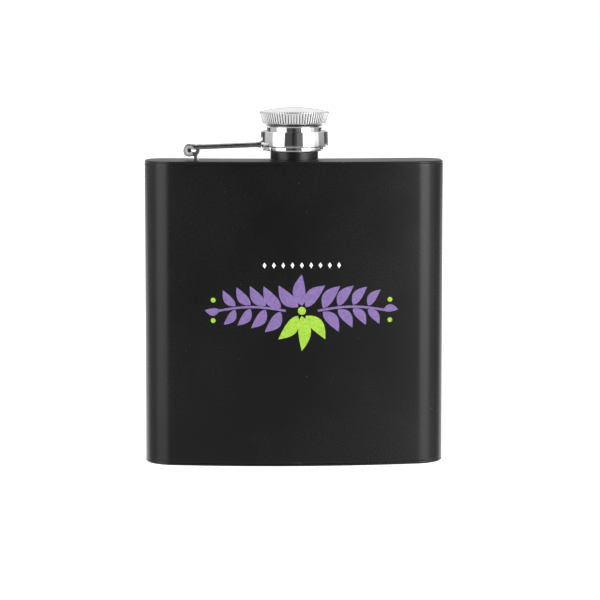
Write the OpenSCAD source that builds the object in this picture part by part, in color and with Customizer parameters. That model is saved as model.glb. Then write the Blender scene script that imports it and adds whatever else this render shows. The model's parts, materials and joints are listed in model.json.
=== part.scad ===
// Pocket hip flask with a captive screw cap on a hinged arm.
// The base rests on z = 0, +Z is up, and the convex front faces -Y.

/* [Body] */
// Width of the body across its flat sides
body_w = 94; // [88:1:104]
// Height of the body from the base to the top plate
body_h = 95.4; // [80:0.2:130]
// Distance between the front sheet and the back sheet, outside to outside
slab_t = 22; // [20:0.5:26]
// Radius that the front sheet is bent to
front_r = 230; // [200:5:300]
// Radius of the four upright corners
corner_r = 7; // [5:0.5:9]
// Thickness of the body sheet
wall = 0.6; // [0.5:0.1:0.8]
// Thickness of the two end plates
plate_t = 0.8; // [0.6:0.1:1.2]

/* [Neck] */
// Radius of the bore that the drink passes through
bore_r = 5.2; // [4.8:0.1:5.4]
// Radius of the neck's plain root, below the cap
root_r = 7.5; // [7.2:0.1:7.6]
// Height of the neck's lip above the top plate
neck_h = 10.6; // [10.2:0.1:10.6]

/* [Hinge] */
// Distance from the neck's axis to the hinge pin
hinge_reach = 32.9; // [31:0.1:34]
// Height of the hinge pin above the top plate
hinge_h = 3.2; // [3.1:0.1:3.3]
// Radius of the hinge pin
hinge_pin_r = 0.6; // [0.5:0.05:0.65]
// Width of the arm
arm_w = 6.4; // [6:0.2:6.6]
// Thickness of the arm's strip
arm_t = 1.3; // [1:0.1:1.3]

/* [Cap] */
// Radius of the collar at its foot
collar_r = 10.7; // [10.6:0.1:11]
// Radius of the knurled head at its widest
head_r = 11; // [10.8:0.1:11.5]
// Number of grooves in the knurl
groove_count = 74; // [60:1:80]
// Distance between the ridges of the screw thread
pitch = 2; // [1.8:0.1:2]

/* [Hidden] */
$fn = 96;
eps = 0.01;

// Gaps: between parts that turn on each other, and between parts that are pressed or welded.
running_gap = 0.04;
fitted_gap = 0.02;
weld_gap = 0.05;

// The body's section. Both sheets are bent about one centre, which lies curve_y behind the origin.
back_r = front_r - slab_t;
corner_x = body_w / 2 - corner_r;
front_corner_y = -sqrt(pow(front_r - corner_r, 2) - pow(corner_x, 2));
back_corner_y = -sqrt(pow(back_r + corner_r, 2) - pow(corner_x, 2));
curve_y = (front_r - back_corner_y - corner_r) / 2;
axis_y = curve_y - front_r + slab_t / 2;
flange_h = 4;
flange_t = 0.6;

// Heights on the neck and the cap, above the top plate
root_h = 2.8;
foot_h = 3;
collar_h0 = 4.4;
collar_h1 = 9.2;
head_h0 = 11.5;
head_h1 = 15.35;
dome_h = 16.6;
head_floor = 15;

// The screw thread. The cap's crest clears the neck's, so the arm can also lift the cap straight off.
neck_core_r = 6;
neck_crest_r = 6.6;
cap_crest_r = 7.2;
ridge_h0 = 5;
ridge_root_half = 0.75;
ridge_crest_half = 0.25;
neck_ridges = [for (i = [0:2]) ridge_h0 + i * pitch];
cap_ridges = [for (i = [0:1]) ridge_h0 + (i + 0.5) * pitch];

// The cap's sleeve, liner and gasket
sleeve_r = 8.6;
sleeve_t = 0.5;
liner_bore_r = 7.65;
gasket_t = 1.15;
ring_r = 9.1;
ring_h = 1.35;

// The collar's slot, its two ears and the eye of the arm between them
collar_bore_r = sleeve_r + 0.08;
collar_top_r = collar_r - 0.2;
slot_half = arm_w / 2 + 0.3;
slot_h1 = 6.6;
ear_t = 0.9;
ear_r = ring_r + 0.15;
ear_foot = 3.2;
eye_x = -9.75;
eye_h = 5.3;
eye_r = 1;
eye_pin_r = 0.45;
eye_pin_half = 4.3;

// The hinge: a bent strip makes the bracket, and its loop is longer than the pin needs.
hinge_x = -hinge_reach;
knuckle_r = 1.9;
bracket_half = 1.6;
bracket_gap = 0.15;
loop_r = 1.8;
loop_length = 1.45;
stalk_t = 1.1;
stalk_x = hinge_x + 1.95;
weld_h = 0.7;
weld_spread = 0.5;
notch_end = hinge_x + 3.7;

// The body's outline, drawn inset from its outside by a given distance
module kidney(inset = 0) {
    outer = front_r - inset;
    inner = back_r + inset;
    round_r = corner_r - inset;
    front_c = [corner_x, front_corner_y];
    back_c = [corner_x, back_corner_y];
    // Lines from the bend's centre through the corners' centres meet the arcs where they join.
    half = [front_c * 1.1, front_c, back_c, back_c * 0.8];
    translate([0, curve_y]) {
        intersection() {
            difference() {
                circle(outer);
                circle(inner);
            }
            polygon([for (p = half) p, for (i = [3:-1:0]) [-half[i].x, half[i].y]]);
        }
        for (side = [-1, 1]) {
            for (c = [front_c, back_c])
                translate([side * c.x, c.y])
                    circle(round_r);
            translate([side * (corner_x + round_r / 2), (front_corner_y + back_corner_y) / 2])
                square([round_r, back_corner_y - front_corner_y], center = true);
        }
    }
}

module kidney_ring(outside, thickness, height) {
    linear_extrude(height)
        difference() {
            kidney(outside);
            kidney(outside + thickness);
        }
}

// A plate extruded across the arm's width, from a side view drawn in x and z
module side_plate(width) {
    translate([0, axis_y, body_h])
        rotate([90, 0, 0])
            linear_extrude(width, center = true)
                children();
}

// Anything turned about the neck's axis, from a half section drawn in radius and height
module turned() {
    translate([0, axis_y, body_h])
        rotate_extrude()
            children();
}

// The thread's ridges, each turned as a level ring
module ridges(base_r, crest_r, heights) {
    for (h = heights)
        turned()
            polygon([[base_r, h - ridge_root_half], [crest_r, h - ridge_crest_half],
                     [crest_r, h + ridge_crest_half], [base_r, h + ridge_root_half]]);
}

module body_wrap() {
    color([0.1, 0.1, 0.1])
        translate([0, 0, plate_t])
            kidney_ring(0, wall, body_h - 2 * plate_t);
}

module top_plate() {
    color([0.13, 0.13, 0.13])
        difference() {
            union() {
                translate([0, 0, body_h - plate_t])
                    linear_extrude(plate_t)
                        kidney();
                translate([0, 0, body_h - plate_t - flange_h])
                    kidney_ring(wall + weld_gap, flange_t, flange_h + eps);
            }
            translate([0, axis_y, body_h - 2 * plate_t])
                cylinder(r = root_r + weld_gap, h = 3 * plate_t);
        }
}

module bottom_plate() {
    color([0.13, 0.13, 0.13]) {
        linear_extrude(plate_t)
            kidney();
        translate([0, 0, plate_t - eps])
            kidney_ring(wall + weld_gap, flange_t, flange_h + eps);
    }
}

// The spout: an inner flange under the plate, the root with its weld, and the threaded lip
module neck() {
    flange_r = root_r + 1;
    flange_h0 = -plate_t - 0.75;
    flange_h1 = -plate_t - weld_gap;
    weld_w = 0.35;
    lip = 0.25;
    color([0.2, 0.2, 0.2]) {
        turned()
            polygon([[bore_r, flange_h0], [flange_r, flange_h0], [flange_r, flange_h1],
                     [root_r, flange_h1], [root_r, 0], [root_r + weld_w, 0],
                     [root_r, weld_w], [root_r, root_h - lip], [root_r - lip, root_h],
                     [neck_core_r, root_h], [neck_core_r, neck_h - lip],
                     [neck_core_r - lip, neck_h], [bore_r, neck_h]]);
        ridges(neck_core_r - 0.3, neck_crest_r, neck_ridges);
    }
}

module hinge_bracket() {
    color([0.25, 0.25, 0.25])
        side_plate(2 * bracket_half)
            difference() {
                union() {
                    bracket_loop(loop_r);
                    translate([stalk_x - stalk_t / 2, 0])
                        square([stalk_t, hinge_h - hinge_pin_r - running_gap]);
                    polygon([[stalk_x - stalk_t / 2 - weld_spread, 0],
                             [stalk_x + stalk_t / 2 + weld_spread, 0],
                             [stalk_x + stalk_t / 2, weld_h], [stalk_x - stalk_t / 2, weld_h]]);
                }
                bracket_loop(hinge_pin_r + running_gap);
            }
}

module bracket_loop(r) {
    for (x = [0, loop_length])
        translate([hinge_x + x, hinge_h])
            circle(r);
    translate([hinge_x, hinge_h - r])
        square([loop_length, 2 * r]);
}

module hinge_pin() {
    pin_inset = 0.1;
    color([0.15, 0.15, 0.15])
        side_plate(arm_w - 2 * pin_inset)
            translate([hinge_x, hinge_h])
                circle(hinge_pin_r);
}

// A flat strip, rolled round the hinge pin in two knuckles and round the collar's pin in one eye
module arm() {
    start_h = hinge_h + knuckle_r - 1;
    end_h = eye_h - eye_r + arm_t / 2;
    color([0.3, 0.3, 0.3])
        difference() {
            side_plate(arm_w)
                difference() {
                    union() {
                        translate([hinge_x, hinge_h])
                            circle(knuckle_r);
                        translate([eye_x, eye_h])
                            circle(eye_r);
                        polygon([[hinge_x, start_h - arm_t / 2], [eye_x, end_h - arm_t / 2],
                                 [eye_x, end_h + arm_t / 2], [hinge_x, start_h + arm_t / 2]]);
                    }
                    translate([hinge_x, hinge_h])
                        circle(hinge_pin_r + running_gap);
                    translate([eye_x, eye_h])
                        circle(eye_pin_r + running_gap);
                }
            translate([hinge_x - 2 * knuckle_r, axis_y - bracket_half - bracket_gap, body_h])
                cube([notch_end - hinge_x + 2 * knuckle_r, 2 * (bracket_half + bracket_gap),
                      2 * hinge_h + knuckle_r]);
        }
}

// The ring that the cap turns in, with a slot for the arm's eye and an ear each side of the slot
module collar() {
    edge = 0.15;
    color([0.8, 0.8, 0.82])
        difference() {
            union() {
                turned()
                    polygon([[collar_bore_r, collar_h0], [collar_r - edge, collar_h0],
                             [collar_r, collar_h0 + edge], [collar_top_r, collar_h1 - edge],
                             [collar_top_r - edge, collar_h1], [collar_bore_r, collar_h1]]);
                collar_ears();
            }
            translate([-collar_r - 1, axis_y - slot_half, body_h + ear_foot - 1])
                cube([collar_r - 7, 2 * slot_half, slot_h1 - ear_foot + 1]);
            side_plate(4 * collar_r)
                translate([eye_x, eye_h])
                    circle(eye_pin_r + fitted_gap / 2);
        }
}

module collar_ears() {
    ear_half = slot_half + ear_t;
    intersection() {
        turned()
            translate([ear_r, ear_foot])
                square([collar_r - ear_r, collar_h0 - ear_foot + eps]);
        translate([-collar_r - 1, axis_y - ear_half, body_h])
            cube([collar_r, 2 * ear_half, collar_h1]);
    }
}

module collar_pin() {
    color([0.6, 0.6, 0.62])
        side_plate(2 * eye_pin_half)
            translate([eye_x, eye_h])
                circle(eye_pin_r);
}

module retaining_ring() {
    edge = 0.35;
    color([0.8, 0.8, 0.82])
        turned()
            polygon([[sleeve_r + fitted_gap, foot_h], [ring_r - edge, foot_h],
                     [ring_r, foot_h + edge], [ring_r, foot_h + ring_h],
                     [sleeve_r + fitted_gap, foot_h + ring_h]]);
}

module cap_sleeve() {
    inner = sleeve_r - sleeve_t;
    top = head_floor - weld_gap;
    color([0.75, 0.75, 0.77])
        turned()
            polygon([[inner, foot_h], [sleeve_r, foot_h], [sleeve_r, top], [0, top],
                     [0, top - sleeve_t], [inner, top - sleeve_t]]);
}

// A domed shell with straight grooves cut into its conical side
module cap_head() {
    foot_r = head_r - 1;
    edge = 0.15;
    dome_r = head_r - 0.6;
    dome_rise = dome_h - head_h1;
    sphere_r = (dome_r * dome_r + dome_rise * dome_rise) / (2 * dome_rise);
    rim_h = head_h1 - 0.3;
    color([0.8, 0.8, 0.82])
        difference() {
            turned()
                difference() {
                    union() {
                        polygon([[0, head_h0], [foot_r - edge, head_h0], [foot_r, head_h0 + edge],
                                 [head_r, rim_h], [head_r - edge, head_h1], [0, head_h1]]);
                        intersection() {
                            translate([0, dome_h - sphere_r])
                                circle(sphere_r, $fn = 360);
                            translate([0, head_h1 - eps])
                                square([dome_r, dome_rise + 2 * eps]);
                        }
                    }
                    polygon([[0, 0], [sleeve_r + fitted_gap, 0], [sleeve_r + fitted_gap, head_h0 + 0.7],
                             [foot_r - 0.8, head_h0 + 0.7], [head_r - 1, head_floor - 0.5],
                             [head_r - 1.4, head_floor], [0, head_floor]]);
                }
            knurl_grooves(foot_r, rim_h);
        }
}

module knurl_grooves(foot_r, rim_h) {
    groove_r = 0.3;
    groove_out = 0.12;
    tilt = atan((head_r - foot_r) / (rim_h - head_h0));
    for (i = [0:groove_count - 1])
        translate([0, axis_y, body_h + head_h0])
            rotate([0, 0, i * 360 / groove_count])
                translate([foot_r + groove_out, 0, 0])
                    rotate([0, tilt, 0])
                        translate([0, 0, -1])
                            cylinder(r = groove_r, h = head_h1 - head_h0 + 3, $fn = 16);
}

// The moulded plug inside the sleeve, with the cap's thread
module cap_liner() {
    outer = sleeve_r - sleeve_t - 0.03;
    foot = foot_h + 0.4;
    top = head_floor - weld_gap - sleeve_t - fitted_gap;
    seat = neck_h + weld_gap + gasket_t + fitted_gap;
    color([0.85, 0.85, 0.83]) {
        turned()
            polygon([[liner_bore_r, foot], [outer, foot], [outer, top], [0, top], [0, seat],
                     [liner_bore_r, seat]]);
        ridges(liner_bore_r + 0.2, cap_crest_r, cap_ridges);
    }
}

module cap_gasket() {
    color([0.9, 0.9, 0.88])
        translate([0, axis_y, body_h + neck_h + weld_gap])
            cylinder(r = liner_bore_r - 0.1, h = gasket_t);
}

body_wrap();
top_plate();
bottom_plate();
neck();
hinge_bracket();
hinge_pin();
arm();
collar();
collar_pin();
retaining_ring();
cap_sleeve();
cap_head();
cap_liner();
cap_gasket();
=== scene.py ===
"""A pocket hip flask with a captive screw cap: its shapes, finishes, light and camera.

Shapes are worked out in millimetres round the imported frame, and make() turns them into metres.
"""

import json
import math

import bmesh
import bpy
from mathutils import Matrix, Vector


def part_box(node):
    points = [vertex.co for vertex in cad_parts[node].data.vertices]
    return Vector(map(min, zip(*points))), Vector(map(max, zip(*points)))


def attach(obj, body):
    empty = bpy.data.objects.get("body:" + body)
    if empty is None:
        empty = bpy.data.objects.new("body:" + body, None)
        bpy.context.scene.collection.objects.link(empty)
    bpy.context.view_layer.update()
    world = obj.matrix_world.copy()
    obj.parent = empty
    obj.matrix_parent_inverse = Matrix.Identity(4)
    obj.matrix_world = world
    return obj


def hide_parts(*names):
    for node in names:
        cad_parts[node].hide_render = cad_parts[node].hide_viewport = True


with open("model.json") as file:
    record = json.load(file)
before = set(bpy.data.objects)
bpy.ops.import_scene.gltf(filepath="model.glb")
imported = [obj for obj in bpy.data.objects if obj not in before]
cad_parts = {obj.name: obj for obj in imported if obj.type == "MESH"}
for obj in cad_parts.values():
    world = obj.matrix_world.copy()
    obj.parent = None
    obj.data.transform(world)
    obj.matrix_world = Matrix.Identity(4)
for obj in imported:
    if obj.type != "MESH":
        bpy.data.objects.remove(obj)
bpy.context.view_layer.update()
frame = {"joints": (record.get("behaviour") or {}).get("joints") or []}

MM = 0.001
FULL = 2 * math.pi
TINY = 1e-6

# Places in millimetres, worked out from the frame. Heights called h are above the top plate.
JOINTS = {j["name"]: j for j in frame["joints"]}
AXIS_Y = JOINTS["cap_turn"]["pos_m"][1] / MM
HINGE_X = JOINTS["arm_swing"]["pos_m"][0] / MM
TOP_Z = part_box("top_plate")[1].z / MM
HINGE_H = JOINTS["arm_swing"]["pos_m"][2] / MM - TOP_Z
EYE_X = JOINTS["collar_pivot"]["pos_m"][0] / MM
EYE_H = JOINTS["collar_pivot"]["pos_m"][2] / MM - TOP_Z
HALF_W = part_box("body_wrap")[1].x / MM
ARM_HALF = (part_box("arm")[1].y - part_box("arm")[0].y) / MM / 2

# The body's section: two sheets bent about one centre, CURVE_Y behind the origin
FRONT_R = 230.0
SLAB_T = 22.0
BACK_R = FRONT_R - SLAB_T
FRONT_CORNER_R = 10.0
BACK_CORNER_R = 7.0
CURVE_Y = AXIS_Y + FRONT_R - SLAB_T / 2
WALL = 0.6
PLATE_T = 0.8
PLATE_EDGE_R = 0.5
FLANGE_H, FLANGE_T, FLANGE_GAP = 4.0, 0.6, 0.05
SEAM_DEPTH, SEAM_EASE_H = 0.1, 0.4
CENTRE_DISC_R = 5.0

# The neck and its thread
BORE_R = 5.2
ROOT_R = 7.5
ROOT_H = 2.8
NECK_FLANGE_R, NECK_FLANGE_H0, NECK_FLANGE_H1 = ROOT_R + 1, -1.55, -PLATE_T - 0.05
BEAD_R, BEAD_H = 0.42, 0.38
NECK_H = 10.6
NECK_CORE_R = 6.0
NECK_CREST_R = 6.6
PITCH = 2.0
THREAD_PHASE = 0.4

# The cap
FOOT_H = 3.0
COLLAR_H0, COLLAR_H1 = 4.4, 9.2
COLLAR_BORE_R, COLLAR_FOOT_R, COLLAR_TOP_R = 8.68, 10.7, 10.5
SLOT_HALF, SLOT_H = ARM_HALF + 0.3, 6.6
EAR_T, EAR_R, EAR_FOOT = 0.9, 9.25, 3.2
SLEEVE_R, SLEEVE_T, SLEEVE_TOP = 8.6, 0.5, 14.95
SLEEVE_FIT_R = SLEEVE_R + 0.02
RING_R, RING_TOP = 9.1, 4.35
HEAD_H0, RIM_H, HEAD_H1, DOME_H = 11.5, 15.05, 15.35, 16.6
HEAD_FOOT_R, HEAD_R, DOME_R = 10.0, 11.0, 10.4
WAIST_R = 1.1
GROOVES, GROOVE_DEPTH = 74, 0.36
GROOVE_H0, GROOVE_H1 = HEAD_H0 + 0.24, RIM_H - 0.1
LINER_R, LINER_BORE_R, LINER_CREST_R = 8.07, 7.65, 7.2
LINER_FOOT, LINER_TOP, LINER_SEAT = 3.4, 14.38, 11.82
GASKET_R, GASKET_H0, GASKET_H1 = 7.55, 10.65, 11.8

# The hinge and the arm
PIN_R, PIN_FIT = 0.6, 0.04
KNUCKLE_R = 1.9
LOOP_R, LOOP_LENGTH = 1.8, 1.45
BRACKET_HALF, BRACKET_GAP = 1.6, 0.15
STALK_X, STALK_T, STALK_FOOT = HINGE_X + 1.95, 1.1, 1.0
NOTCH_END = HINGE_X + 3.7
ARM_T = 1.3
EYE_R, EYE_PIN_R, EYE_PIN_HALF = 1.0, 0.45, 4.3

# The print's middle, how far the ink stands proud of the coat, and how far it goes into it
PRINT_X, PRINT_Z = 2.0, 50.0
INK_PROUD, INK_SUNK = 0.035, -0.02

# Edges that turn by more than this many degrees are shaded sharp, the second on well-rounded pieces
SHARP, SHARP_ROUND = 40, 60
# Points that a boolean or a bevel leaves closer than this are joined
WELD_BOOLEAN, WELD_BEVEL = 0.012, 0.0002

# Strips of studio light: (from, to, softness at each end, strength), in degrees of azimuth
RIGHT_STRIPS = ((29, 66, 4, 12, 4.0), (66, 90, 12, 5, 1.0), (90, 122, 5, 6, 0.36))
LEFT_STRIPS = ((-78, -36, 12, 4, 2.3), (-122, -78, 10, 12, 0.5))
# The same behind the object, in degrees of elevation
BEHIND_BANDS = ((-3, 6, 2, 6, 0.2), (6, 14, 6, 10, 0.85), (14, 36, 10, 8, 0.45))


# ---------------------------------------------------------------- shapes

def shade(mesh, sharp):
    """Smooth shading, but for edges that turn by more than sharp degrees."""
    mesh.polygons.foreach_set("use_smooth", [True] * len(mesh.polygons))
    mesh.set_sharp_from_angle(angle=math.radians(sharp))


def make(name, verts, faces, body, material, *nodes, sharp=SHARP):
    """A closed mesh piece from millimetre points, riding on a body and standing for its CAD nodes."""
    mesh = bpy.data.meshes.new(name)
    mesh.from_pydata([Vector(v) * MM for v in verts], [], faces)
    bm = bmesh.new()
    bm.from_mesh(mesh)
    bmesh.ops.recalc_face_normals(bm, faces=bm.faces)
    bm.to_mesh(mesh)
    bm.free()
    shade(mesh, sharp)
    piece = bpy.data.objects.new(name, mesh)
    bpy.context.scene.collection.objects.link(piece)
    mesh.materials.append(material)
    if nodes:
        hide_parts(*nodes)
    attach(piece, body)
    return piece


def loft(rings, loop=True):
    """Quads between rings of equal length. loop joins the last ring to the first, or both are capped."""
    verts = [p for ring in rings for p in ring]
    n, m = len(rings[0]), len(rings)
    faces = []
    for i in range(m if loop else m - 1):
        a, b = i * n, (i + 1) % m * n
        faces += [(a + k, a + (k + 1) % n, b + (k + 1) % n, b + k) for k in range(n)]
    if not loop:
        faces += [tuple(range(n)), tuple(range((m - 1) * n, m * n))]
    return verts, faces


def turned(profile, segments=128, shape=None, loop=True):
    """A solid turned about the neck's axis from (radius, height) points.

    shape(angle, r, h) changes the radius. A point on the axis becomes a single vertex.
    """
    verts, rings = [], []
    for r, h in profile:
        count = 1 if r < TINY else segments
        rings.append(range(len(verts), len(verts) + count))
        for k in range(count):
            a = FULL * k / segments
            radius = r if shape is None or count == 1 else shape(a, r, h)
            verts.append((radius * math.cos(a), AXIS_Y + radius * math.sin(a), TOP_Z + h))
    faces = []
    for i in range(len(rings) if loop else len(rings) - 1):
        a, b = rings[i], rings[(i + 1) % len(rings)]
        for k in range(segments):
            j = (k + 1) % segments
            quad = [a[k % len(a)], a[j % len(a)], b[j % len(b)], b[k % len(b)]]
            face = tuple(dict.fromkeys(quad))
            if len(face) > 2:
                faces.append(face)
    return verts, faces


def rounded(points, radius, steps=4, loop=True):
    """The outline with each corner replaced by a short curve; points on the axis stay as they are.

    A curve takes no more than edge_share of either edge, so that neighbours never meet.
    """
    edge_share = 0.42
    out, n = [], len(points)
    for i, p in enumerate(points):
        if p[0] < TINY or (not loop and i in (0, n - 1)):
            out.append(p)
            continue
        p = Vector(p)
        before, after = Vector(points[i - 1]) - p, Vector(points[(i + 1) % n]) - p
        reach = min(radius, edge_share * before.length, edge_share * after.length)
        start, end = p + before.normalized() * reach, p + after.normalized() * reach
        for k in range(steps + 1):
            t = k / steps
            q = start * (1 - t) ** 2 + p * 2 * t * (1 - t) + end * t * t
            out.append((q.x, q.y))
    return out


def arc(cx, cy, r, start, end, steps):
    """Points on an arc, angles in degrees."""
    turn = [math.radians(start + (end - start) * k / steps) for k in range(steps + 1)]
    return [(cx + r * math.cos(a), cy + r * math.sin(a)) for a in turn]


def body_outline():
    """Points round the body with their outward normals, from the middle of the front, anticlockwise."""
    front_x = HALF_W - FRONT_CORNER_R
    front_y = -math.sqrt((FRONT_R - FRONT_CORNER_R) ** 2 - front_x ** 2)
    back_x = HALF_W - BACK_CORNER_R
    back_y = -math.sqrt((BACK_R + BACK_CORNER_R) ** 2 - back_x ** 2)
    front_turn = math.degrees(math.atan(front_x / -front_y))
    back_turn = math.degrees(math.atan(back_x / -back_y))
    half = []

    def add(cx, cy, r, start, end, steps, inward=False):
        for k in range(steps + 1):
            a = math.radians(start + (end - start) * k / steps)
            side = -1 if inward else 1
            point = (cx + r * math.cos(a), CURVE_Y + cy + r * math.sin(a))
            if not half or math.dist(half[-1][0], point) > 1e-4:
                half.append((point, (side * math.cos(a), side * math.sin(a))))

    add(0, 0, FRONT_R, -90, -90 + front_turn, 48)
    add(front_x, front_y, FRONT_CORNER_R, -90 + front_turn, 0, 24)
    add(back_x, back_y, BACK_CORNER_R, 0, 90 + back_turn, 24)
    add(0, 0, BACK_R, -90 + back_turn, -90, 40, inward=True)
    other = [((-p[0], p[1]), (-n[0], n[1])) for p, n in reversed(half[1:-1])]
    return half + other


OUTLINE = body_outline()


def ring_at(inset, z):
    """The body's outline moved inwards by inset, at one height."""
    return [(p[0] - n[0] * inset, p[1] - n[1] * inset, z) for p, n in OUTLINE]


def circle_at(r, z):
    """A circle about the neck's axis with one point towards each point of the body's outline."""
    turn = [math.atan2(p[1] - AXIS_Y, p[0]) for p, _ in OUTLINE]
    return [(r * math.cos(a), AXIS_Y + r * math.sin(a), z) for a in turn]


def edge_round(z0, rise):
    """Rings round the edge of an end plate, from its side to its flat face."""
    steps = 6
    rings = []
    for k in range(steps + 1):
        a = math.pi / 2 * k / steps
        rings.append(ring_at(PLATE_EDGE_R * (1 - math.cos(a)), z0 + rise * PLATE_EDGE_R * math.sin(a)))
    return rings


def apply_modifiers(piece, merge, sharp):
    """Makes the modifiers' result the piece's mesh, with points closer than merge millimetres joined."""
    dg = bpy.context.evaluated_depsgraph_get()
    mesh = bpy.data.meshes.new_from_object(piece.evaluated_get(dg))
    piece.modifiers.clear()
    piece.data = mesh
    bm = bmesh.new()
    bm.from_mesh(mesh)
    bmesh.ops.remove_doubles(bm, verts=bm.verts, dist=merge * MM)
    bmesh.ops.dissolve_degenerate(bm, edges=bm.edges, dist=merge * MM)
    bm.to_mesh(mesh)
    bm.free()
    shade(mesh, sharp)


def boolean(piece, cutter, operation, sharp=SHARP):
    """Applies one boolean with another closed piece, and removes that piece."""
    mod = piece.modifiers.new(operation, "BOOLEAN")
    mod.operation, mod.object, mod.solver = operation, cutter, "EXACT"
    apply_modifiers(piece, WELD_BOOLEAN, sharp)
    bpy.data.objects.remove(cutter)


def soften(piece, width, segments):
    """A small bevel on every sharp edge."""
    mod = piece.modifiers.new("edges", "BEVEL")
    mod.width, mod.segments, mod.limit_method = width * MM, segments, "ANGLE"
    mod.angle_limit = math.radians(SHARP)
    mod.use_clamp_overlap = True
    apply_modifiers(piece, WELD_BEVEL, SHARP_ROUND)


def laid_across(verts, x, h):
    """A shape turned about the neck's axis, laid down to lie along Y through x and height h."""
    return [(x + v[0], AXIS_Y + v[2] - TOP_Z, TOP_Z + h + v[1] - AXIS_Y) for v in verts]


def block(name, x, y, h, body, material):
    """A box between (low, high) pairs, y about the neck's axis and h above the top plate."""
    corners = [(0, 0), (1, 0), (1, 1), (0, 1)]
    rings = [[(x[i], AXIS_Y + y[j], TOP_Z + level) for i, j in corners] for level in h]
    return make(name, *loft(rings, loop=False), body, material)


def strip(path, half_width, thickness, loop=False, corner=0.22):
    """A flat strip swept along (x, h) points; thickness is one number for each point."""
    count = len(path)
    rings = []
    for i, p in enumerate(path):
        before = path[i - 1] if loop or i else path[0]
        after = path[(i + 1) % count] if loop or i < count - 1 else path[-1]
        along = (Vector(after) - Vector(before)).normalized()
        half = thickness[i] / 2
        ring = []
        for u, v, start in ((1, 1, 0), (-1, 1, 90), (-1, -1, 180), (1, -1, 270)):
            cu, cv = u * (half - corner), v * (half_width - corner)
            for q in arc(cu, cv, corner, start, start + 90, 3):
                ring.append((p[0] - along.y * q[0], AXIS_Y + q[1], TOP_Z + p[1] + along.x * q[0]))
        rings.append(ring)
    return loft(rings, loop)


def bezier(p0, p1, p2, p3, steps):
    """Points on a cubic curve between p0 and p3."""
    out = []
    for k in range(steps + 1):
        t = k / steps
        weights = ((1 - t) ** 3, 3 * t * (1 - t) ** 2, 3 * t * t * (1 - t), t ** 3)
        out.append(tuple(sum(w * p[i] for w, p in zip(weights, (p0, p1, p2, p3))) for i in (0, 1)))
    return out


def smoothstep(t):
    """0 to 1 as t goes from 0 to 1, eased at both ends."""
    t = min(max(t, 0.0), 1.0)
    return t * t * (3 - 2 * t)


def ridge(height, from_start, to_end):
    """How far a right-hand thread stands: 1 on its crest, and a factor that fades out at both ends."""
    root_half, flank = 0.75, 0.45
    fade_in, fade_out = 0.9, 0.7
    from_crest = abs((height + PITCH / 2) % PITCH - PITCH / 2)
    stands = smoothstep((root_half - from_crest) / flank)
    return stands, smoothstep(from_start / fade_in) * smoothstep(to_end / fade_out)


# ---------------------------------------------------------------- materials

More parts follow.
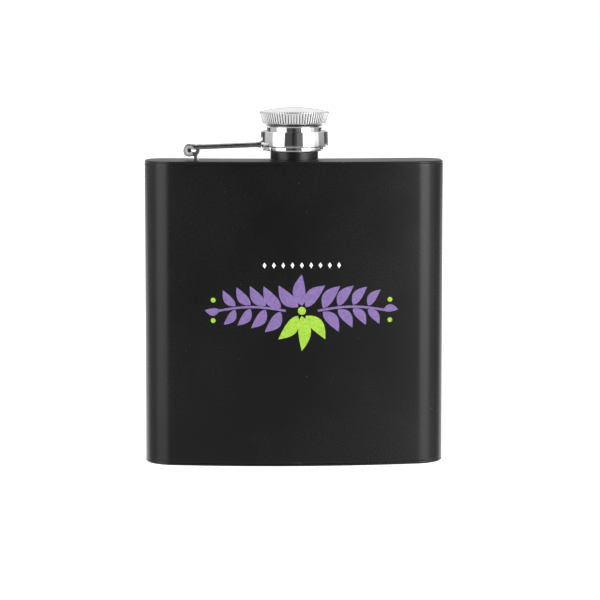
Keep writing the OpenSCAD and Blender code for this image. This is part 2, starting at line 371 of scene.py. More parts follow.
class Graph:
    """Short names for building one node tree."""

    # Places of the colour sockets on a Mix node
    MIX_AMOUNT, MIX_FIRST, MIX_SECOND, MIX_RESULT = 0, 6, 7, 2

    def __init__(self, tree):
        self.tree = tree
        tree.nodes.clear()

    def node(self, kind, out=0, **sockets):
        """A node with its sockets set by name; returns its output of this name or number."""
        node = self.tree.nodes.new("ShaderNode" + kind)
        for key, value in sockets.items():
            self.put(node.inputs[key], value)
        return node.outputs[out]

    def put(self, socket, value):
        """Links another node's output to the socket, or sets its value."""
        if isinstance(value, bpy.types.NodeSocket):
            self.tree.links.new(value, socket)
        else:
            socket.default_value = value

    def math(self, operation, *values):
        node = self.tree.nodes.new("ShaderNodeMath")
        node.operation = operation
        for socket, value in zip(node.inputs, values):
            self.put(socket, value)
        return node.outputs[0]

    def product(self, first, *others):
        for other in others:
            first = self.math("MULTIPLY", first, other)
        return first

    def total(self, first, *others):
        for other in others:
            first = self.math("ADD", first, other)
        return first

    def length(self, a, b):
        return self.math("SQRT", self.total(self.product(a, a), self.product(b, b)))

    def rise(self, value, low, high, out_low=0.0, out_high=1.0):
        """value from low to high becomes out_low to out_high, eased at both ends."""
        node = self.tree.nodes.new("ShaderNodeMapRange")
        node.interpolation_type = "SMOOTHSTEP"
        for name, number in (("Value", value), ("From Min", low), ("From Max", high),
                             ("To Min", out_low), ("To Max", out_high)):
            self.put(node.inputs[name], number)
        return node.outputs[0]

    def rise_straight(self, value, low, high, out_low, out_high):
        """value from low to high becomes out_low to out_high along a straight line."""
        slope = (out_high - out_low) / (high - low)
        return self.total(self.product(self.math("SUBTRACT", value, low), slope), out_low)

    def window(self, value, low, high, soft_low, soft_high):
        """1 between low and high, with edges soft_low and soft_high wide."""
        return self.product(self.rise(value, low - soft_low / 2, low + soft_low / 2),
                            self.rise(value, high - soft_high / 2, high + soft_high / 2, 1.0, 0.0))

    def strips(self, value, rows):
        """A sum of windows; each row is (low, high, soft_low, soft_high, strength)."""
        return self.total(*[self.product(self.window(value, *row[:4]), row[4]) for row in rows])

    def place(self):
        """Object coordinates in millimetres."""
        return self.scaled(self.node("TexCoord", "Object"), (1 / MM, 1 / MM, 1 / MM))

    def scaled(self, vector, factors):
        node = self.tree.nodes.new("ShaderNodeVectorMath")
        node.operation = "MULTIPLY"
        self.put(node.inputs[0], vector)
        self.put(node.inputs[1], factors)
        return node.outputs[0]

    def split(self, vector):
        node = self.tree.nodes.new("ShaderNodeSeparateXYZ")
        self.put(node.inputs[0], vector)
        return node.outputs

    def noise(self, vector, size, detail, stretch=(1, 1, 1)):
        """Noise whose features are about size millimetres across."""
        place = self.scaled(vector, stretch)
        return self.node("TexNoise", Vector=place, Scale=1.0 / size, Detail=detail)

    def mix(self, amount, first, second):
        """A colour between first and second."""
        node = self.tree.nodes.new("ShaderNodeMix")
        node.data_type = "RGBA"
        self.put(node.inputs[self.MIX_AMOUNT], amount)
        self.put(node.inputs[self.MIX_FIRST], first)
        self.put(node.inputs[self.MIX_SECOND], second)
        return node.outputs[self.MIX_RESULT]

    def bump(self, height, depth):
        """depth is the height of the relief in millimetres."""
        return self.node("Bump", Distance=depth * MM, Height=height)

    def edges(self, low=0.51, high=0.56):
        """1 on outside edges, or on inside ones when high is below low."""
        return self.rise(self.node("NewGeometry", "Pointiness"), low, high)

    def lathe(self, place):
        """Coordinates in which noise runs round the neck's axis: distance from it, and height."""
        x, y, z = self.split(place)
        away = self.length(x, self.math("SUBTRACT", y, AXIS_Y))
        return self.node("CombineXYZ", X=away, Y=z)


def grey(value):
    return (value, value, value, 1.0)


def finish_of(name, build, **numbers):
    """A material. build(graph) returns linked sockets by name; numbers are set on the shader itself."""
    material = bpy.data.materials.new(name)
    material.use_nodes = True
    graph = Graph(material.node_tree)
    shader = material.node_tree.nodes.new("ShaderNodeBsdfPrincipled")
    output = material.node_tree.nodes.new("ShaderNodeOutputMaterial")
    material.node_tree.links.new(shader.outputs[0], output.inputs[0])
    for key, value in numbers.items():
        shader.inputs[key.replace("_", " ")].default_value = value
    for key, socket in build(graph).items():
        graph.put(shader.inputs[key], socket)
    return material


def powder_coat(g):
    """Satin black powder: fine orange peel, cloudy sheen, sparse light specks and rubbed edges."""
    black, soft_black, speck, rubbed = grey(0.0030), grey(0.0044), grey(0.12), grey(0.06)
    half_h = TOP_Z / 2
    seam_y, seam_half = 2.0, 0.4
    place = g.place()
    x, y, z = g.split(place)
    cloud = g.noise(place, 26, 4)
    grain = g.noise(place, 0.5, 2)
    specks = g.rise(g.noise(place, 0.9, 1), 0.80, 0.83)
    patches = g.rise(g.noise(place, 3.5, 5), 0.52, 0.68)
    from_middle = g.math("ABSOLUTE", g.math("SUBTRACT", z, half_h))
    near_end = g.window(from_middle, half_h - 1.2, half_h - 0.06, 0.6, 0.08)
    worn = g.product(g.edges(0.53, 0.60), patches, near_end)
    base = g.mix(g.rise(cloud, 0.3, 0.7), black, soft_black)
    base = g.mix(g.product(specks, 0.5), base, speck)
    base = g.mix(g.product(worn, 0.3), base, rubbed)
    end_face = g.rise(from_middle, half_h - 0.3, half_h - 0.05, 0, 0.16)
    rough = g.total(g.rise(cloud, 0.3, 0.7, 0.24, 0.28), g.rise(grain, 0.2, 0.8, -0.015, 0.02),
                    g.product(worn, -0.06), end_face)
    seam = g.product(g.window(y, seam_y - seam_half, seam_y + seam_half, 0.5, 0.5),
                     g.rise(x, HALF_W - 1.0, HALF_W - 0.2))
    peel = g.total(g.product(grain, 0.5), g.product(g.noise(place, 2.2, 2), 0.6), g.product(seam, 2.0))
    return {"Base Color": base, "Roughness": rough, "Normal": g.bump(peel, 0.006)}


def neck_steel(g):
    """The coat runs up the root; the thread and the bore are bare steel with turning marks."""
    coat, dark_steel, pale_steel = grey(0.006), grey(0.42), grey(0.55)
    coat_end = TOP_Z + ROOT_H
    place = g.place()
    marks = g.noise(g.lathe(place), 0.12, 2)
    cloud = g.noise(place, 4, 3)
    uneven = g.rise(cloud, 0.3, 0.7, -0.15, 0.15)
    bare = g.rise(g.total(g.split(place)[2], uneven), coat_end - 0.25, coat_end + 0.05)
    base = g.mix(bare, coat, g.mix(cloud, dark_steel, pale_steel))
    rough = g.total(g.rise(bare, 0, 1, 0.3, 0.24), g.rise(marks, 0.2, 0.8, -0.04, 0.06))
    return {"Base Color": base, "Metallic": bare, "Roughness": rough,
            "Normal": g.bump(marks, 0.004)}


def hinge_steel(g):
    """Dark steel, brushed along the arm, paler where its edges are rubbed, with a painted highlight on
    the knuckle's front end face.
    """
    dark, mid, rubbed, highlight_pale = grey(0.26), grey(0.40), grey(0.66), grey(0.7)
    front = AXIS_Y - ARM_HALF
    place = g.place()
    x, y, z = g.split(place)
    brushed = g.noise(place, 0.10, 3, stretch=(0.04, 1, 1))
    cloud = g.noise(place, 5, 4)
    worn = g.product(g.edges(), g.rise(cloud, 0.35, 0.6))
    from_pin = g.length(g.math("SUBTRACT", x, HINGE_X), g.math("SUBTRACT", z, TOP_Z + HINGE_H))
    # Painted highlight: the knuckle's front end face is paler in colour. It is also made rougher.
    knuckle_face_highlight = g.product(g.rise(from_pin, KNUCKLE_R - 0.15, KNUCKLE_R - 0.45),
                         g.rise(y, front + 0.3, front + 0.1))
    base = g.mix(g.rise(brushed, 0.3, 0.7), dark, mid)
    base = g.mix(g.product(worn, 0.7), base, rubbed)
    base = g.mix(knuckle_face_highlight, base, highlight_pale)
    rough = g.total(g.rise(brushed, 0.3, 0.7, 0.20, 0.30), g.rise(cloud, 0.3, 0.7, -0.03, 0.04),
                    g.product(knuckle_face_highlight, 0.3))
    return {"Base Color": base, "Roughness": rough, "Normal": g.bump(brushed, 0.006)}


def pin_steel(g):
    """A dark sawn pin end, mottled, with a little bright wear."""
    dark, bright = grey(0.03), grey(0.12)
    marks = g.noise(g.place(), 0.15, 3)
    base = g.mix(g.rise(marks, 0.35, 0.75), dark, bright)
    return {"Base Color": base, "Roughness": g.rise(marks, 0.2, 0.8, 0.28, 0.42),
            "Normal": g.bump(marks, 0.008)}


def polished_steel(g):
    """Mirror steel: turning lines, haze, fine scratches, and painted shade in inside creases, in the
    flutes and under the head.
    """
    dull, bright, crevice_shade_grey, shaded, flute_shade_grey = grey(0.86), grey(0.93), grey(0.10), grey(0.06), grey(0.05)
    head_low, head_high = TOP_Z + HEAD_H0, TOP_Z + RIM_H
    place = g.place()
    lathe = g.lathe(place)
    away, height = g.split(lathe)[:2]
    lines = g.noise(lathe, 0.09, 2)
    haze = g.noise(place, 6, 4)
    scratch = g.rise(g.noise(place, 0.16, 2, stretch=(0.12, 0.12, 1.0)), 0.70, 0.78)
    # Painted shade: a dark band in the colour just under the head's overhang, which is also made
    # rougher.
    under_head_shade = g.product(g.window(height, head_low - 0.85, head_low + 0.1, 0.3, 0.1),
                      g.rise(away, HEAD_FOOT_R - 0.1, HEAD_FOOT_R - 0.4))
    flare = g.rise_straight(height, head_low, head_high, HEAD_FOOT_R, HEAD_R)
    # Painted shade: the knurl's flutes, where they sink below the flared side, are darkened in the
    # colour.
    flute_shade = g.product(g.rise(g.math("SUBTRACT", flare, away), 0.08, 0.24),
                       g.rise(away, HEAD_FOOT_R - 0.45, HEAD_FOOT_R - 0.35),
                       g.window(height, head_low + 0.2, head_high - 0.05, 0.2, 0.2))
    base = g.mix(g.rise(haze, 0.3, 0.7), dull, bright)
    # Painted shade: inside edges and creases are darkened in the colour.
    base = g.mix(g.edges(0.47, 0.40), base, crevice_shade_grey)
    base = g.mix(g.product(under_head_shade, 0.85), base, shaded)
    base = g.mix(g.product(flute_shade, 0.9), base, flute_shade_grey)
    rough = g.total(g.rise(haze, 0.35, 0.7, 0.045, 0.075), g.rise(lines, 0.3, 0.7, 0.0, 0.03),
                    g.product(scratch, 0.08), g.product(under_head_shade, 0.2))
    relief = g.total(lines, g.product(scratch, -0.6))
    return {"Base Color": base, "Roughness": rough, "Normal": g.bump(relief, 0.0006)}


def liner_plastic(g):
    """Natural white moulded plastic, slightly yellowed in patches, with flow marks."""
    yellowed, white = (0.72, 0.71, 0.66, 1), (0.82, 0.81, 0.77, 1)
    place = g.place()
    flow = g.noise(g.lathe(place), 0.5, 3)
    return {"Base Color": g.mix(g.noise(place, 5, 4), yellowed, white),
            "Roughness": g.rise(flow, 0.2, 0.8, 0.38, 0.52), "Normal": g.bump(flow, 0.01)}


def gasket_silicone(g):
    """Milky silicone with a pressed-in ring where it meets the lip."""
    milky, paler = (0.78, 0.78, 0.76, 1), (0.86, 0.86, 0.84, 1)
    place = g.place()
    away = g.split(g.lathe(place))[0]
    pressed = g.window(away, BORE_R - 0.1, NECK_CORE_R + 0.1, 0.3, 0.3)
    cloud = g.noise(place, 2.5, 3)
    relief = g.total(g.product(pressed, -1.0), g.product(cloud, 0.15))
    return {"Base Color": g.mix(cloud, milky, paler),
            "Roughness": g.rise(cloud, 0.2, 0.8, 0.42, 0.55), "Normal": g.bump(relief, 0.06)}


def ink(colour, darker):
    """Pad-printed ink: slightly uneven cover and a soft sheen."""
    def build(g):
        place = g.place()
        cover = g.rise(g.noise(place, 0.45, 3), 0.30, 0.62)
        cloud = g.noise(place, 7, 3)
        base = g.mix(g.product(cover, g.rise(cloud, 0.2, 0.6, 0.85, 1.0)), darker, colour)
        return {"Base Color": base, "Roughness": g.rise(cloud, 0.3, 0.7, 0.36, 0.48),
                "Normal": g.bump(cover, 0.008)}
    return build


FINISHES = {
    "powder_coat": finish_of("powder_coat", powder_coat, IOR=1.5),
    "neck_steel": finish_of("neck_steel", neck_steel),
    "hinge_steel": finish_of("hinge_steel", hinge_steel, Metallic=1.0),
    "pin_steel": finish_of("pin_steel", pin_steel, Metallic=1.0),
    "polished_steel": finish_of("polished_steel", polished_steel, Metallic=1.0),
    "liner_plastic": finish_of("liner_plastic", liner_plastic, IOR=1.49),
    "gasket_silicone": finish_of("gasket_silicone", gasket_silicone, IOR=1.42,
                                 Subsurface_Weight=0.25, Subsurface_Scale=0.001),
}
PURPLE = finish_of("print_purple", ink((0.20, 0.130, 0.34, 1), (0.13, 0.08, 0.22, 1)))
LIME = finish_of("print_lime", ink((0.31, 0.54, 0.035, 1), (0.20, 0.36, 0.025, 1)))
WHITE = finish_of("print_white", ink((0.86, 0.86, 0.86, 1), (0.5, 0.5, 0.5, 1)))


# ---------------------------------------------------------------- the body

def wrap():
    """The bent sheet: a closed tube with its two long edges eased into the seams."""
    low, high = PLATE_T, TOP_Z - PLATE_T
    first, last = low + SEAM_DEPTH, high - SEAM_DEPTH
    rows = 8
    levels = [first, first + SEAM_EASE_H] + [first + (last - first) * k / rows for k in range(1, rows)]
    levels += [last - SEAM_EASE_H, last]
    rings = [ring_at(SEAM_DEPTH, low)] + [ring_at(0, z) for z in levels] + [ring_at(SEAM_DEPTH, high)]
    rings += [ring_at(WALL, high), ring_at(WALL, low)]
    make("wrap", *loft(rings), "flask", FINISHES["powder_coat"], "body_wrap", sharp=SHARP_ROUND)


def plate(name, node, face_z, rise):
    """An end plate: flat face, rounded edge, seam and the flange inside the sheet. rise is 1 or -1."""
    seam_z = face_z - rise * PLATE_T
    flange_z = seam_z - rise * FLANGE_H
    flange_out = WALL + FLANGE_GAP
    flange_in = flange_out + FLANGE_T
    rings = [ring_at(SEAM_DEPTH, seam_z), ring_at(0, seam_z + rise * SEAM_DEPTH)]
    rings += edge_round(face_z - rise * PLATE_EDGE_R, rise)
    rings += [ring_at(PLATE_EDGE_R + 0.4, face_z)]
    inner = [ring_at(flange_in, seam_z), ring_at(flange_in, flange_z),
             ring_at(flange_out, flange_z), ring_at(flange_out, seam_z)]
    if rise > 0:
        hole = ROOT_R + 0.05
        rings += [circle_at(hole + 0.6, face_z), circle_at(hole, face_z), circle_at(hole, seam_z)]
        verts, faces = loft(rings + inner)
    else:
        # The bottom plate has no hole, so its two flat faces close on small discs.
        discs = [circle_at(CENTRE_DISC_R, face_z), circle_at(CENTRE_DISC_R, seam_z)]
        verts, faces = loft(rings + discs + inner)
        n = len(OUTLINE)
        at = len(rings) * n
        faces = [f for f in faces if not (min(f) >= at and max(f) < at + 2 * n)]
        faces += [tuple(range(at, at + n)), tuple(range(at + n, at + 2 * n))]
    make(name, verts, faces, "flask", FINISHES["powder_coat"], node, sharp=50)


def neck():
    """The spout: weld bead, coated root, true helical thread and a rolled lip."""
    root = [(BORE_R, NECK_FLANGE_H0), (NECK_FLANGE_R, NECK_FLANGE_H0),
            (NECK_FLANGE_R, NECK_FLANGE_H1), (ROOT_R, NECK_FLANGE_H1), (ROOT_R, -0.02)]
    bead = [(ROOT_R + BEAD_R * math.cos(a), BEAD_H * math.sin(a) + 0.01)
            for a in [math.radians(90 * k / 5) for k in range(6)]]
    shoulder = rounded([(ROOT_R, 0.7), (ROOT_R, ROOT_H), (NECK_CORE_R, ROOT_H)], 0.3, loop=False)
    rows = 96
    low, high = ROOT_H + 0.05, NECK_H - 0.3
    thread = [(NECK_CORE_R, low + (high - low) * k / rows) for k in range(rows + 1)]
    lip = [(NECK_CORE_R - 0.02, NECK_H - 0.15), (NECK_CORE_R - 0.12, NECK_H - 0.04),
           (NECK_CORE_R - 0.28, NECK_H), (BORE_R + 0.2, NECK_H), (BORE_R + 0.05, NECK_H - 0.05),
           (BORE_R, NECK_H - 0.2)]
    ripples, ripple, ripple_h = 58, 0.05, 0.45

    def shape(a, r, h):
        if abs(r - NECK_CORE_R) < TINY and low <= h <= high:
            stands, fade = ridge(h - PITCH * a / FULL - THREAD_PHASE, h - low, high - 0.3 - h)
            return r + (NECK_CREST_R - NECK_CORE_R) * stands * fade
        if r > ROOT_R and 0 < h < ripple_h:
            return r + ripple * math.sin(ripples * a) * math.sin(math.pi * h / ripple_h)
        return r

    verts, faces = turned(root + bead + shoulder[1:] + thread + lip, 160, shape)
    make("spout", verts, faces, "flask", FINISHES["neck_steel"], "neck", sharp=50)


# ---------------------------------------------------------------- the print

def front_y(x, proud):
    """Y of the front sheet at this x, with proud millimetres added in front of it."""
    return CURVE_Y - math.sqrt((FRONT_R + proud) ** 2 - x * x)


def printed(name, shapes, material):
    """A thin closed layer of ink on the front. Each shape is a list of (left, middle, right) rows."""
    verts, faces = [], []
    for rows in shapes:
        start, n = len(verts), len(rows)
        for proud in (INK_PROUD, INK_SUNK):
            for row in rows:
                verts += [(PRINT_X + x, front_y(PRINT_X + x, proud), PRINT_Z + z) for x, z in row]
        back = start + 3 * n
        for i in range(n - 1):
            for k in (0, 1):
                a = start + 3 * i + k
                faces.append((a, a + 1, a + 4, a + 3))
                b = back + 3 * i + k
                faces.append((b, b + 3, b + 4, b + 1))
            for k in (0, 2):
                a, b = start + 3 * i + k, back + 3 * i + k
                faces.append((a, a + 3, b + 3, b))
        for i in (0, n - 1):
            for k in (0, 1):
                a, b = start + 3 * i + k, back + 3 * i + k
                faces.append((a, a + 1, b + 1, b))
    make(name, verts, faces, "flask", material)


def leaf(x, z, angle, length, width, steps=12):
    """A pointed leaf from its stalk end, bowed a little to one side."""
    along = Vector((math.cos(math.radians(angle)), math.sin(math.radians(angle))))
    across = Vector((-along.y, along.x))
    rows = []
    for k in range(steps + 1):
        t = k / steps
        middle = Vector((x, z)) + along * length * t + across * width * 0.22 * math.sin(math.pi * t)
        half = width / 2 * (math.sin(math.pi * t ** 0.8) ** 0.9 if 0 < k < steps else 0.02)
        rows.append([tuple(middle + across * half), tuple(middle), tuple(middle - across * half)])
    return rows


def disc(x, z, r, steps=10):
    """A round dot."""
    rows = []
    for k in range(steps + 1):
        a = math.pi * k / steps
        half = max(r * math.sin(a), 0.01)
        at = z - r * math.cos(a)
        rows.append([(x - half, at), (x, at), (x + half, at)])
    return rows


def diamond(x, z, r):
    """An upright diamond, a little narrower than it is high."""
    return [[(x - h, z + d), (x, z + d), (x + h, z + d)]
            for h, d in ((0.01, -r), (r * 0.62, 0), (0.01, r))]


def stem(path, width):
    """A line of even width along (x, z) points."""
    rows = []
    for i, p in enumerate(path):
        along = Vector(path[min(i + 1, len(path) - 1)]) - Vector(path[max(i - 1, 0)])
        along.normalize()
        across = Vector((-along.y, along.x)) * width / 2
        rows.append([tuple(Vector(p) + across), tuple(p), tuple(Vector(p) - across)])
    return rows


def branch(side):
    """One leafy branch of the sprig: a bowed stem, four pairs of leaves that get smaller, and a tip."""
    start, length, bow, level = 5, 21, 1.2, -1
    steps, leaf_angle = 20, 52
    turn = 0 if side > 0 else 180

    def stem_z(x):
        return bow * math.sin(math.pi * (x - start) / length) + level

    xs = [start + length * t / steps for t in range(steps + 1)]
    shapes = [stem([(side * x, stem_z(x)) for x in xs], 0.7)]
    for k in range(4):
        x = 6.6 + 4.7 * k
        size = 1.0 - 0.09 * k
        shapes.append(leaf(side * x, stem_z(x) + 0.6, turn + side * leaf_angle, 8.6 * size, 3.7 * size))
        shapes.append(leaf(side * x, stem_z(x) - 0.6, turn - side * leaf_angle, 8.0 * size, 3.6 * size))
    shapes.append(leaf(side * 25.6, -0.9, turn, 4.6, 2.4))
    return shapes


def sprig():
    """A plain printed sprig: two leafy branches, a bud between them and a row of diamonds above."""
    purple, lime = [], []
    for side in (-1, 1):
        purple += branch(side)
        purple.append(leaf(side * 1.2, 0.2, 90 - side * 42, 9.0, 3.9))
        lime.append(leaf(side * 1.2, -2.6, -90 + side * 40, 9.5, 4.0))
        lime += [disc(side * 27.6, z, 0.75) for z in (2.3, -4.1)]
    purple.append(leaf(0, 0.6, 90, 9.8, 4.0))
    lime += [leaf(0, -2.6, -90, 11.0, 4.0), disc(0, -1.0, 1.25)]
    printed("print_sprig", purple, PURPLE)
    printed("print_bud", lime, LIME)
    count, gap = 9, 2.9
    row = [diamond(gap * (k - (count - 1) / 2), 13.2, 0.95) for k in range(count)]
    printed("print_diamonds", row, WHITE)


# ---------------------------------------------------------------- the hinge and the arm

def bracket():
    """A strip bent into a loop round the pin, on a stalk welded to the top plate."""
    inside = PIN_R + PIN_FIT
    mean, thick = (LOOP_R + inside) / 2, LOOP_R - inside
    loop = arc(HINGE_X, HINGE_H, mean, 90, 270, 20)
    loop += arc(HINGE_X + LOOP_LENGTH, HINGE_H, mean, -90, 90, 20)
    steel = FINISHES["hinge_steel"]
    piece = make("bracket", *strip(loop, BRACKET_HALF, [thick] * len(loop), loop=True, corner=0.15),
                 "flask", steel, "hinge_bracket")
    levels = [k / 12 for k in range(13)]
    top = HINGE_H - PIN_R - 0.2
    path = [(STALK_X, top * t) for t in levels]
    spread = [STALK_T + STALK_FOOT * (1 - smoothstep(top * t / 0.7)) for t in levels]
    stalk = make("stalk", *strip(path, BRACKET_HALF - 0.03, spread, corner=0.15), "flask", steel)
    boolean(piece, stalk, "UNION", sharp=SHARP_ROUND)


def hinge_pin():
    """A riveted pin: slightly domed ends a hair inside the knuckles."""
    half = ARM_HALF - 0.1
    end = [(0, half), (0.3, half - 0.01), (0.5, half - 0.05), (PIN_R, half - 0.15)]
    profile = [(r, -y) for r, y in end] + end[::-1]
    verts, faces = turned(profile, 40, loop=False)
    make("pivot_pin", laid_across(verts, HINGE_X, HINGE_H), faces, "arm", FINISHES["pin_steel"],
         "hinge_pin")


def arm():
    """The flat arm: rolled round the hinge pin at one end, and round the cross pin at the other."""
    steel = FINISHES["hinge_steel"]
    inside = PIN_R + PIN_FIT
    mean, wrap_t = (KNUCKLE_R + inside) / 2, KNUCKLE_R - inside
    curl_from, curl_to = 318, 62
    curl = arc(HINGE_X, HINGE_H, mean, curl_from, curl_to, 40)
    start_h = HINGE_H + KNUCKLE_R - 1
    end_h = EYE_H - EYE_R + ARM_T / 2
    slope = (end_h - start_h) / (EYE_X - HINGE_X)

    def height(x):
        return start_h + slope * (x - HINGE_X)

    settle, stop = HINGE_X + 2.2, EYE_X - 0.7
    lead, steps = 0.5, 24
    last, lean = curl[-1], math.radians(curl_to)
    step = bezier(last, (last[0] + lead * math.sin(lean), last[1] - lead * math.cos(lean)),
                  (settle - 0.6, height(settle - 0.6)), (settle, height(settle)), 8)
    flat = [settle + (stop - settle) * k / steps for k in range(1, steps + 1)]
    path = curl + step[1:] + [(x, height(x)) for x in flat]
    thick = [wrap_t] * len(curl) + [ARM_T] * (len(step) - 1)
    thick += [ARM_T + 0.35 * smoothstep((x - EYE_X + 2.6) / 1.6) for x in flat]
    piece = make("swing_arm", *strip(path, ARM_HALF, thick), "arm", steel, "arm")
    eye_bore = EYE_PIN_R + PIN_FIT
    tube = rounded([(eye_bore, -ARM_HALF), (EYE_R, -ARM_HALF), (EYE_R, ARM_HALF), (eye_bore, ARM_HALF)],
                   0.15)
    verts, faces = turned(tube, 48)
    boolean(piece, make("eye", laid_across(verts, EYE_X, EYE_H), faces, "arm", steel), "UNION")
    gap = BRACKET_HALF + BRACKET_GAP
    notch = block("notch", (HINGE_X - 4, NOTCH_END), (-gap, gap), (-1, 8), "arm", steel)
    boolean(piece, notch, "DIFFERENCE")


# ---------------------------------------------------------------- the cap

def collar():
    """The band that the cap turns in, with its slot and two ears."""
    chrome = FINISHES["polished_steel"]
    segments = 192
    band = rounded([(COLLAR_BORE_R, COLLAR_H0), (COLLAR_FOOT_R, COLLAR_H0),
                    (COLLAR_TOP_R, COLLAR_H1), (COLLAR_BORE_R, COLLAR_H1)], 0.3)
    piece = make("band", *turned(band, segments), "collar", chrome, "collar", sharp=SHARP_ROUND)
    ear_out, ear_top = COLLAR_FOOT_R - 0.02, COLLAR_H0 + 0.6
    skirt = [(EAR_R, EAR_FOOT), (ear_out, EAR_FOOT), (ear_out, ear_top), (EAR_R, ear_top)]
    ears = make("ears", *turned(rounded(skirt, 0.15), segments), "collar", chrome)
    outside = SLOT_HALF + EAR_T
    past_left, below = -12, 2
    limit = block("ear_limit", (past_left, 0), (-outside, outside), (below, 6), "collar", chrome)
    boolean(ears, limit, "INTERSECT")
    boolean(piece, ears, "UNION")
    slot = block("slot", (past_left, -7), (-SLOT_HALF, SLOT_HALF), (below, SLOT_H), "collar", chrome)
    boolean(piece, slot, "DIFFERENCE")
    soften(piece, 0.12, 3)


def cross_pin():
    """The pin through the arm's eye, with a low rivet head each side."""
    half, head_r = EYE_PIN_HALF, 0.62
    end = [(0, half), (0.25, half - 0.01), (0.5, half - 0.07), (head_r, half - 0.2),
           (head_r, half - 0.45), (EYE_PIN_R, half - 0.5)]
    profile = [(r, -y) for r, y in end] + end[::-1]
    verts, faces = turned(profile, 40, loop=False)
    make("cross_pin", laid_across(verts, EYE_X, EYE_H), faces, "collar", FINISHES["polished_steel"],
         "collar_pin")


def retaining_ring():
    """The ring at the sleeve's foot that keeps the collar on."""
    profile = rounded([(SLEEVE_FIT_R, FOOT_H), (RING_R, FOOT_H), (RING_R, RING_TOP),
                       (SLEEVE_FIT_R, RING_TOP)], 0.3)
    make("foot_ring", *turned(profile, 160), "cap", FINISHES["polished_steel"], "retaining_ring")


def sleeve():
    """The cap's tube, closed at the top."""
    inner = SLEEVE_R - SLEEVE_T
    profile = rounded([(0, SLEEVE_TOP - SLEEVE_T), (inner, SLEEVE_TOP - SLEEVE_T), (inner, FOOT_H),
                       (SLEEVE_R, FOOT_H), (SLEEVE_R, SLEEVE_TOP), (0, SLEEVE_TOP)], 0.12, loop=False)
    make("sleeve", *turned(profile, 128, loop=False), "cap", FINISHES["polished_steel"], "cap_sleeve")


def head():
    """The knurled head: a flared side with close flutes under a low mirror dome."""
    rise = DOME_H - HEAD_H1
    sphere_r = (DOME_R ** 2 + rise ** 2) / (2 * rise)
    dome = []
    rows = 24
    for k in range(rows + 1):
        r = DOME_R * (1 - k / rows)
        dome.append((r, DOME_H - sphere_r + math.sqrt(sphere_r ** 2 - r * r)))
    side = [(SLEEVE_FIT_R + WAIST_R * (1 - math.cos(t)), HEAD_H0 - WAIST_R * (1 - math.sin(t)))
            for t in [math.radians(90 * k / 8) for k in range(9)]]
    side += [(HEAD_FOOT_R - 0.12, HEAD_H0 + 0.06), (HEAD_FOOT_R, GROOVE_H0)]
    rows = 10
    flutes = [(HEAD_FOOT_R + (HEAD_R - HEAD_FOOT_R) * k / rows,
               GROOVE_H0 + (GROOVE_H1 - GROOVE_H0) * k / rows) for k in range(1, rows + 1)]
    rim = [(HEAD_R, RIM_H + 0.02), (HEAD_R - 0.1, RIM_H + 0.16), (HEAD_R - 0.32, HEAD_H1 - 0.04)]
    roof, skirt = 15, HEAD_H0 + 0.7
    inside = [(0, roof), (HEAD_R - 1.4, roof), (HEAD_R - 1, roof - 0.5), (HEAD_FOOT_R - 0.8, skirt),
              (SLEEVE_FIT_R, skirt)]

    def shape(a, r, h):
        if r < HEAD_FOOT_R - 0.2 or h > RIM_H + 0.1:
            return r
        cut = abs((a * GROOVES / FULL) % 1 * 2 - 1) ** 3
        fade = smoothstep((h - HEAD_H0) / 0.3) * smoothstep((RIM_H + 0.1 - h) / 0.3)
        return r - GROOVE_DEPTH * cut * fade

    verts, faces = turned(side + flutes + rim + dome + inside, GROOVES * 8, shape)
    make("head", verts, faces, "cap", FINISHES["polished_steel"], "cap_head", sharp=55)


def liner():
    """The moulded plug with the cap's helical thread, half a pitch from the neck's."""
    rows = 80
    low, high = LINER_FOOT + 0.15, LINER_SEAT - 0.4
    phase = THREAD_PHASE + PITCH / 2
    bore = [(LINER_BORE_R, high - (high - low) * k / rows) for k in range(rows + 1)]

    def shape(a, r, h):
        if abs(r - LINER_BORE_R) < TINY and low <= h <= high:
            stands, fade = ridge(h - PITCH * a / FULL - phase, h - low - 0.4, high - 1.0 - h)
            return r - (LINER_BORE_R - LINER_CREST_R) * stands * fade
        return r

    edge = 0.1
    profile = [(LINER_BORE_R + edge, LINER_FOOT), (LINER_R - edge, LINER_FOOT),
               (LINER_R, LINER_FOOT + edge), (LINER_R, LINER_TOP - edge), (LINER_R - edge, LINER_TOP),
               (0, LINER_TOP), (0, LINER_SEAT), (LINER_BORE_R - 0.01, LINER_SEAT)]
    make("plug", *turned(profile + bore, 160, shape), "cap", FINISHES["liner_plastic"], "cap_liner")


def gasket():
    """The silicone disc that seals on the lip."""
    profile = rounded([(0, GASKET_H0), (GASKET_R, GASKET_H0), (GASKET_R, GASKET_H1), (0, GASKET_H1)],
                      0.2, loop=False)
    make("seal", *turned(profile, 96, loop=False), "cap", FINISHES["gasket_silicone"], "cap_gasket")


# ---------------------------------------------------------------- floor, light and camera

def floor():
    """A large pale floor. Mirror-like surfaces see the studio's own ground glow instead of it."""
    half = 6.0
    level = -0.02 * MM  # a hair below the flask's underside, so that the two faces don't coincide
    corners = [(-half, -half, level), (half, -half, level), (half, half, level), (-half, half, level)]
    mesh = bpy.data.meshes.new("floor")
    mesh.from_pydata(corners, [], [(0, 1, 2, 3)])
    piece = bpy.data.objects.new("floor", mesh)
    bpy.context.scene.collection.objects.link(piece)

    def build(g):
        place = g.place()
        return {"Base Color": g.mix(g.noise(place, 60, 3), grey(0.80), grey(0.84)),
                "Roughness": g.rise(g.noise(place, 8, 3), 0.2, 0.8, 0.75, 0.85)}

    mesh.materials.append(finish_of("floor", build, Emission_Color=grey(1.0), Emission_Strength=0.55))
    piece.visible_glossy = False


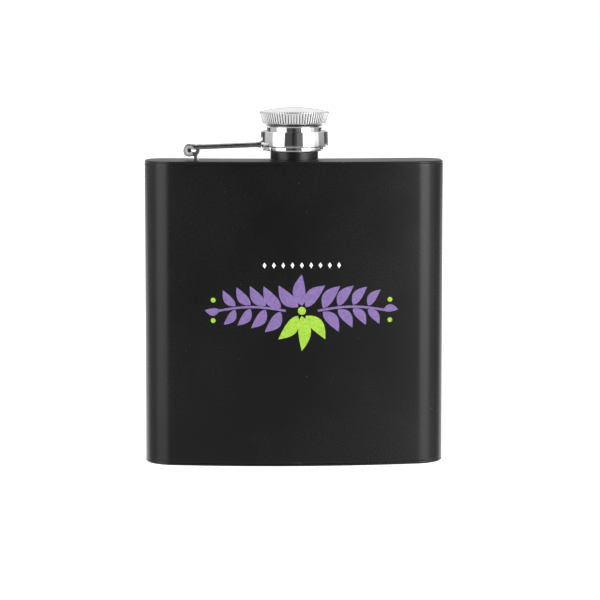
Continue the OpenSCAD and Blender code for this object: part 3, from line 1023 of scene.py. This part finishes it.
def room_light(g):
    """The room as light by direction, in degrees. Azimuth 0 is the camera's side, 90 is the right.

    The coat and the collar's walls see tall, the knurl sees low, and the dome sees behind and sky.
    """
    x, y, z = g.split(g.node("TexCoord", "Generated"))
    azimuth = g.product(g.math("ARCTAN2", x, g.product(y, -1.0)), 360 / FULL)
    elevation = g.product(g.math("ARCSINE", z), 360 / FULL)
    round_from_camera = g.math("ABSOLUTE", azimuth)

    height = g.product(g.window(elevation, -22, 54, 10, 16), g.rise(elevation, -14, 3, 0.12, 1.0))
    tall = g.product(g.total(g.strips(azimuth, RIGHT_STRIPS), g.strips(azimuth, LEFT_STRIPS)), height)
    low_sides = g.product(g.window(round_from_camera, 54, 104, 8, 10),
                          g.rise(azimuth, -20, 20, 1.2, 1.8))
    low_front = g.rise(round_from_camera, 44, 58, 0.55, 0.0)
    low = g.product(g.window(elevation, -48, -24, 8, 8), g.total(low_sides, low_front))
    rim = g.product(g.rise(round_from_camera, 118, 136), g.window(elevation, -30, -3.5, 8, 2), 1.1)
    behind = g.product(g.rise(round_from_camera, 141, 150), g.strips(elevation, BEHIND_BANDS))
    sky = g.product(g.rise(round_from_camera, 70, 110), g.window(elevation, 14, 72, 10, 24), 0.4)
    spill = g.product(g.window(azimuth, 2, 34, 30, 6), g.window(elevation, -14, 30, 10, 14), 0.09)
    front = g.product(g.window(elevation, -28, -8, 8, 7), 0.34)
    ground = g.product(g.rise(elevation, -12, -30), 0.08)
    ceiling = g.product(g.rise(elevation, 64, 80), 0.08)
    dim = g.rise(g.math("ABSOLUTE", g.math("ADD", azimuth, 1.0)), 6, 11, 0.008, 0.075)
    return g.total(dim, tall, low, rim, behind, sky, spill, front, ground, ceiling)


def studio():
    """The world: the room's light on the object, and plain white behind it for the camera."""
    world = bpy.data.worlds.new("studio")
    bpy.context.scene.world = world
    world.use_nodes = True
    g = Graph(world.node_tree)
    lit = g.node("Background", Color=grey(1.0), Strength=room_light(g))
    shown = g.node("Background", Color=grey(1.0), Strength=1.0)
    mixed = world.node_tree.nodes.new("ShaderNodeMixShader")
    for socket, value in zip(mixed.inputs, (g.node("LightPath", "Is Camera Ray"), lit, shown)):
        g.put(socket, value)
    output = world.node_tree.nodes.new("ShaderNodeOutputWorld")
    g.put(output.inputs[0], mixed.outputs[0])


def softbox():
    """One large soft lamp above, for the pale floor and the printed colours."""
    lamp = bpy.data.lights.new("softbox", "AREA")
    lamp.shape, lamp.size, lamp.size_y = "RECTANGLE", 1.2, 0.9
    lamp.energy = 9.0
    light = bpy.data.objects.new("softbox", lamp)
    light.location = (0.35, -0.75, 1.1)
    light.rotation_mode = "QUATERNION"
    light.rotation_quaternion = (Vector((0, 0, 0.05)) - light.location).to_track_quat("-Z", "Y")
    light.visible_glossy = False
    light.visible_camera = False
    bpy.context.scene.collection.objects.link(light)


def camera():
    """The photograph's angle: a long lens a little above the cap, slightly to the left."""
    distance, azimuth, pitch = 759.0, -2.0, 4.9
    aim = Vector((1.8, AXIS_Y, 70.2))
    a, e = math.radians(azimuth), math.radians(pitch)
    back = Vector((math.sin(a) * math.cos(e), -math.cos(a) * math.cos(e), math.sin(e)))
    data = bpy.data.cameras.new("camera")
    data.sensor_width, data.lens, data.shift_y = 36.0, 144.5, -0.1
    data.clip_start, data.clip_end = 0.05, 20.0
    cam = bpy.data.objects.new("camera", data)
    cam.location = (aim + back * distance) * MM
    cam.rotation_mode = "QUATERNION"
    cam.rotation_quaternion = (-back).to_track_quat("-Z", "Y")
    bpy.context.scene.collection.objects.link(cam)
    bpy.context.scene.camera = cam


wrap()
plate("top", "top_plate", TOP_Z, 1)
plate("bottom", "bottom_plate", 0.0, -1)
neck()
sprig()
bracket()
hinge_pin()
arm()
collar()
cross_pin()
retaining_ring()
sleeve()
head()
liner()
gasket()
floor()
studio()
softbox()
camera()
bpy.context.scene.view_settings.view_transform = "Standard"
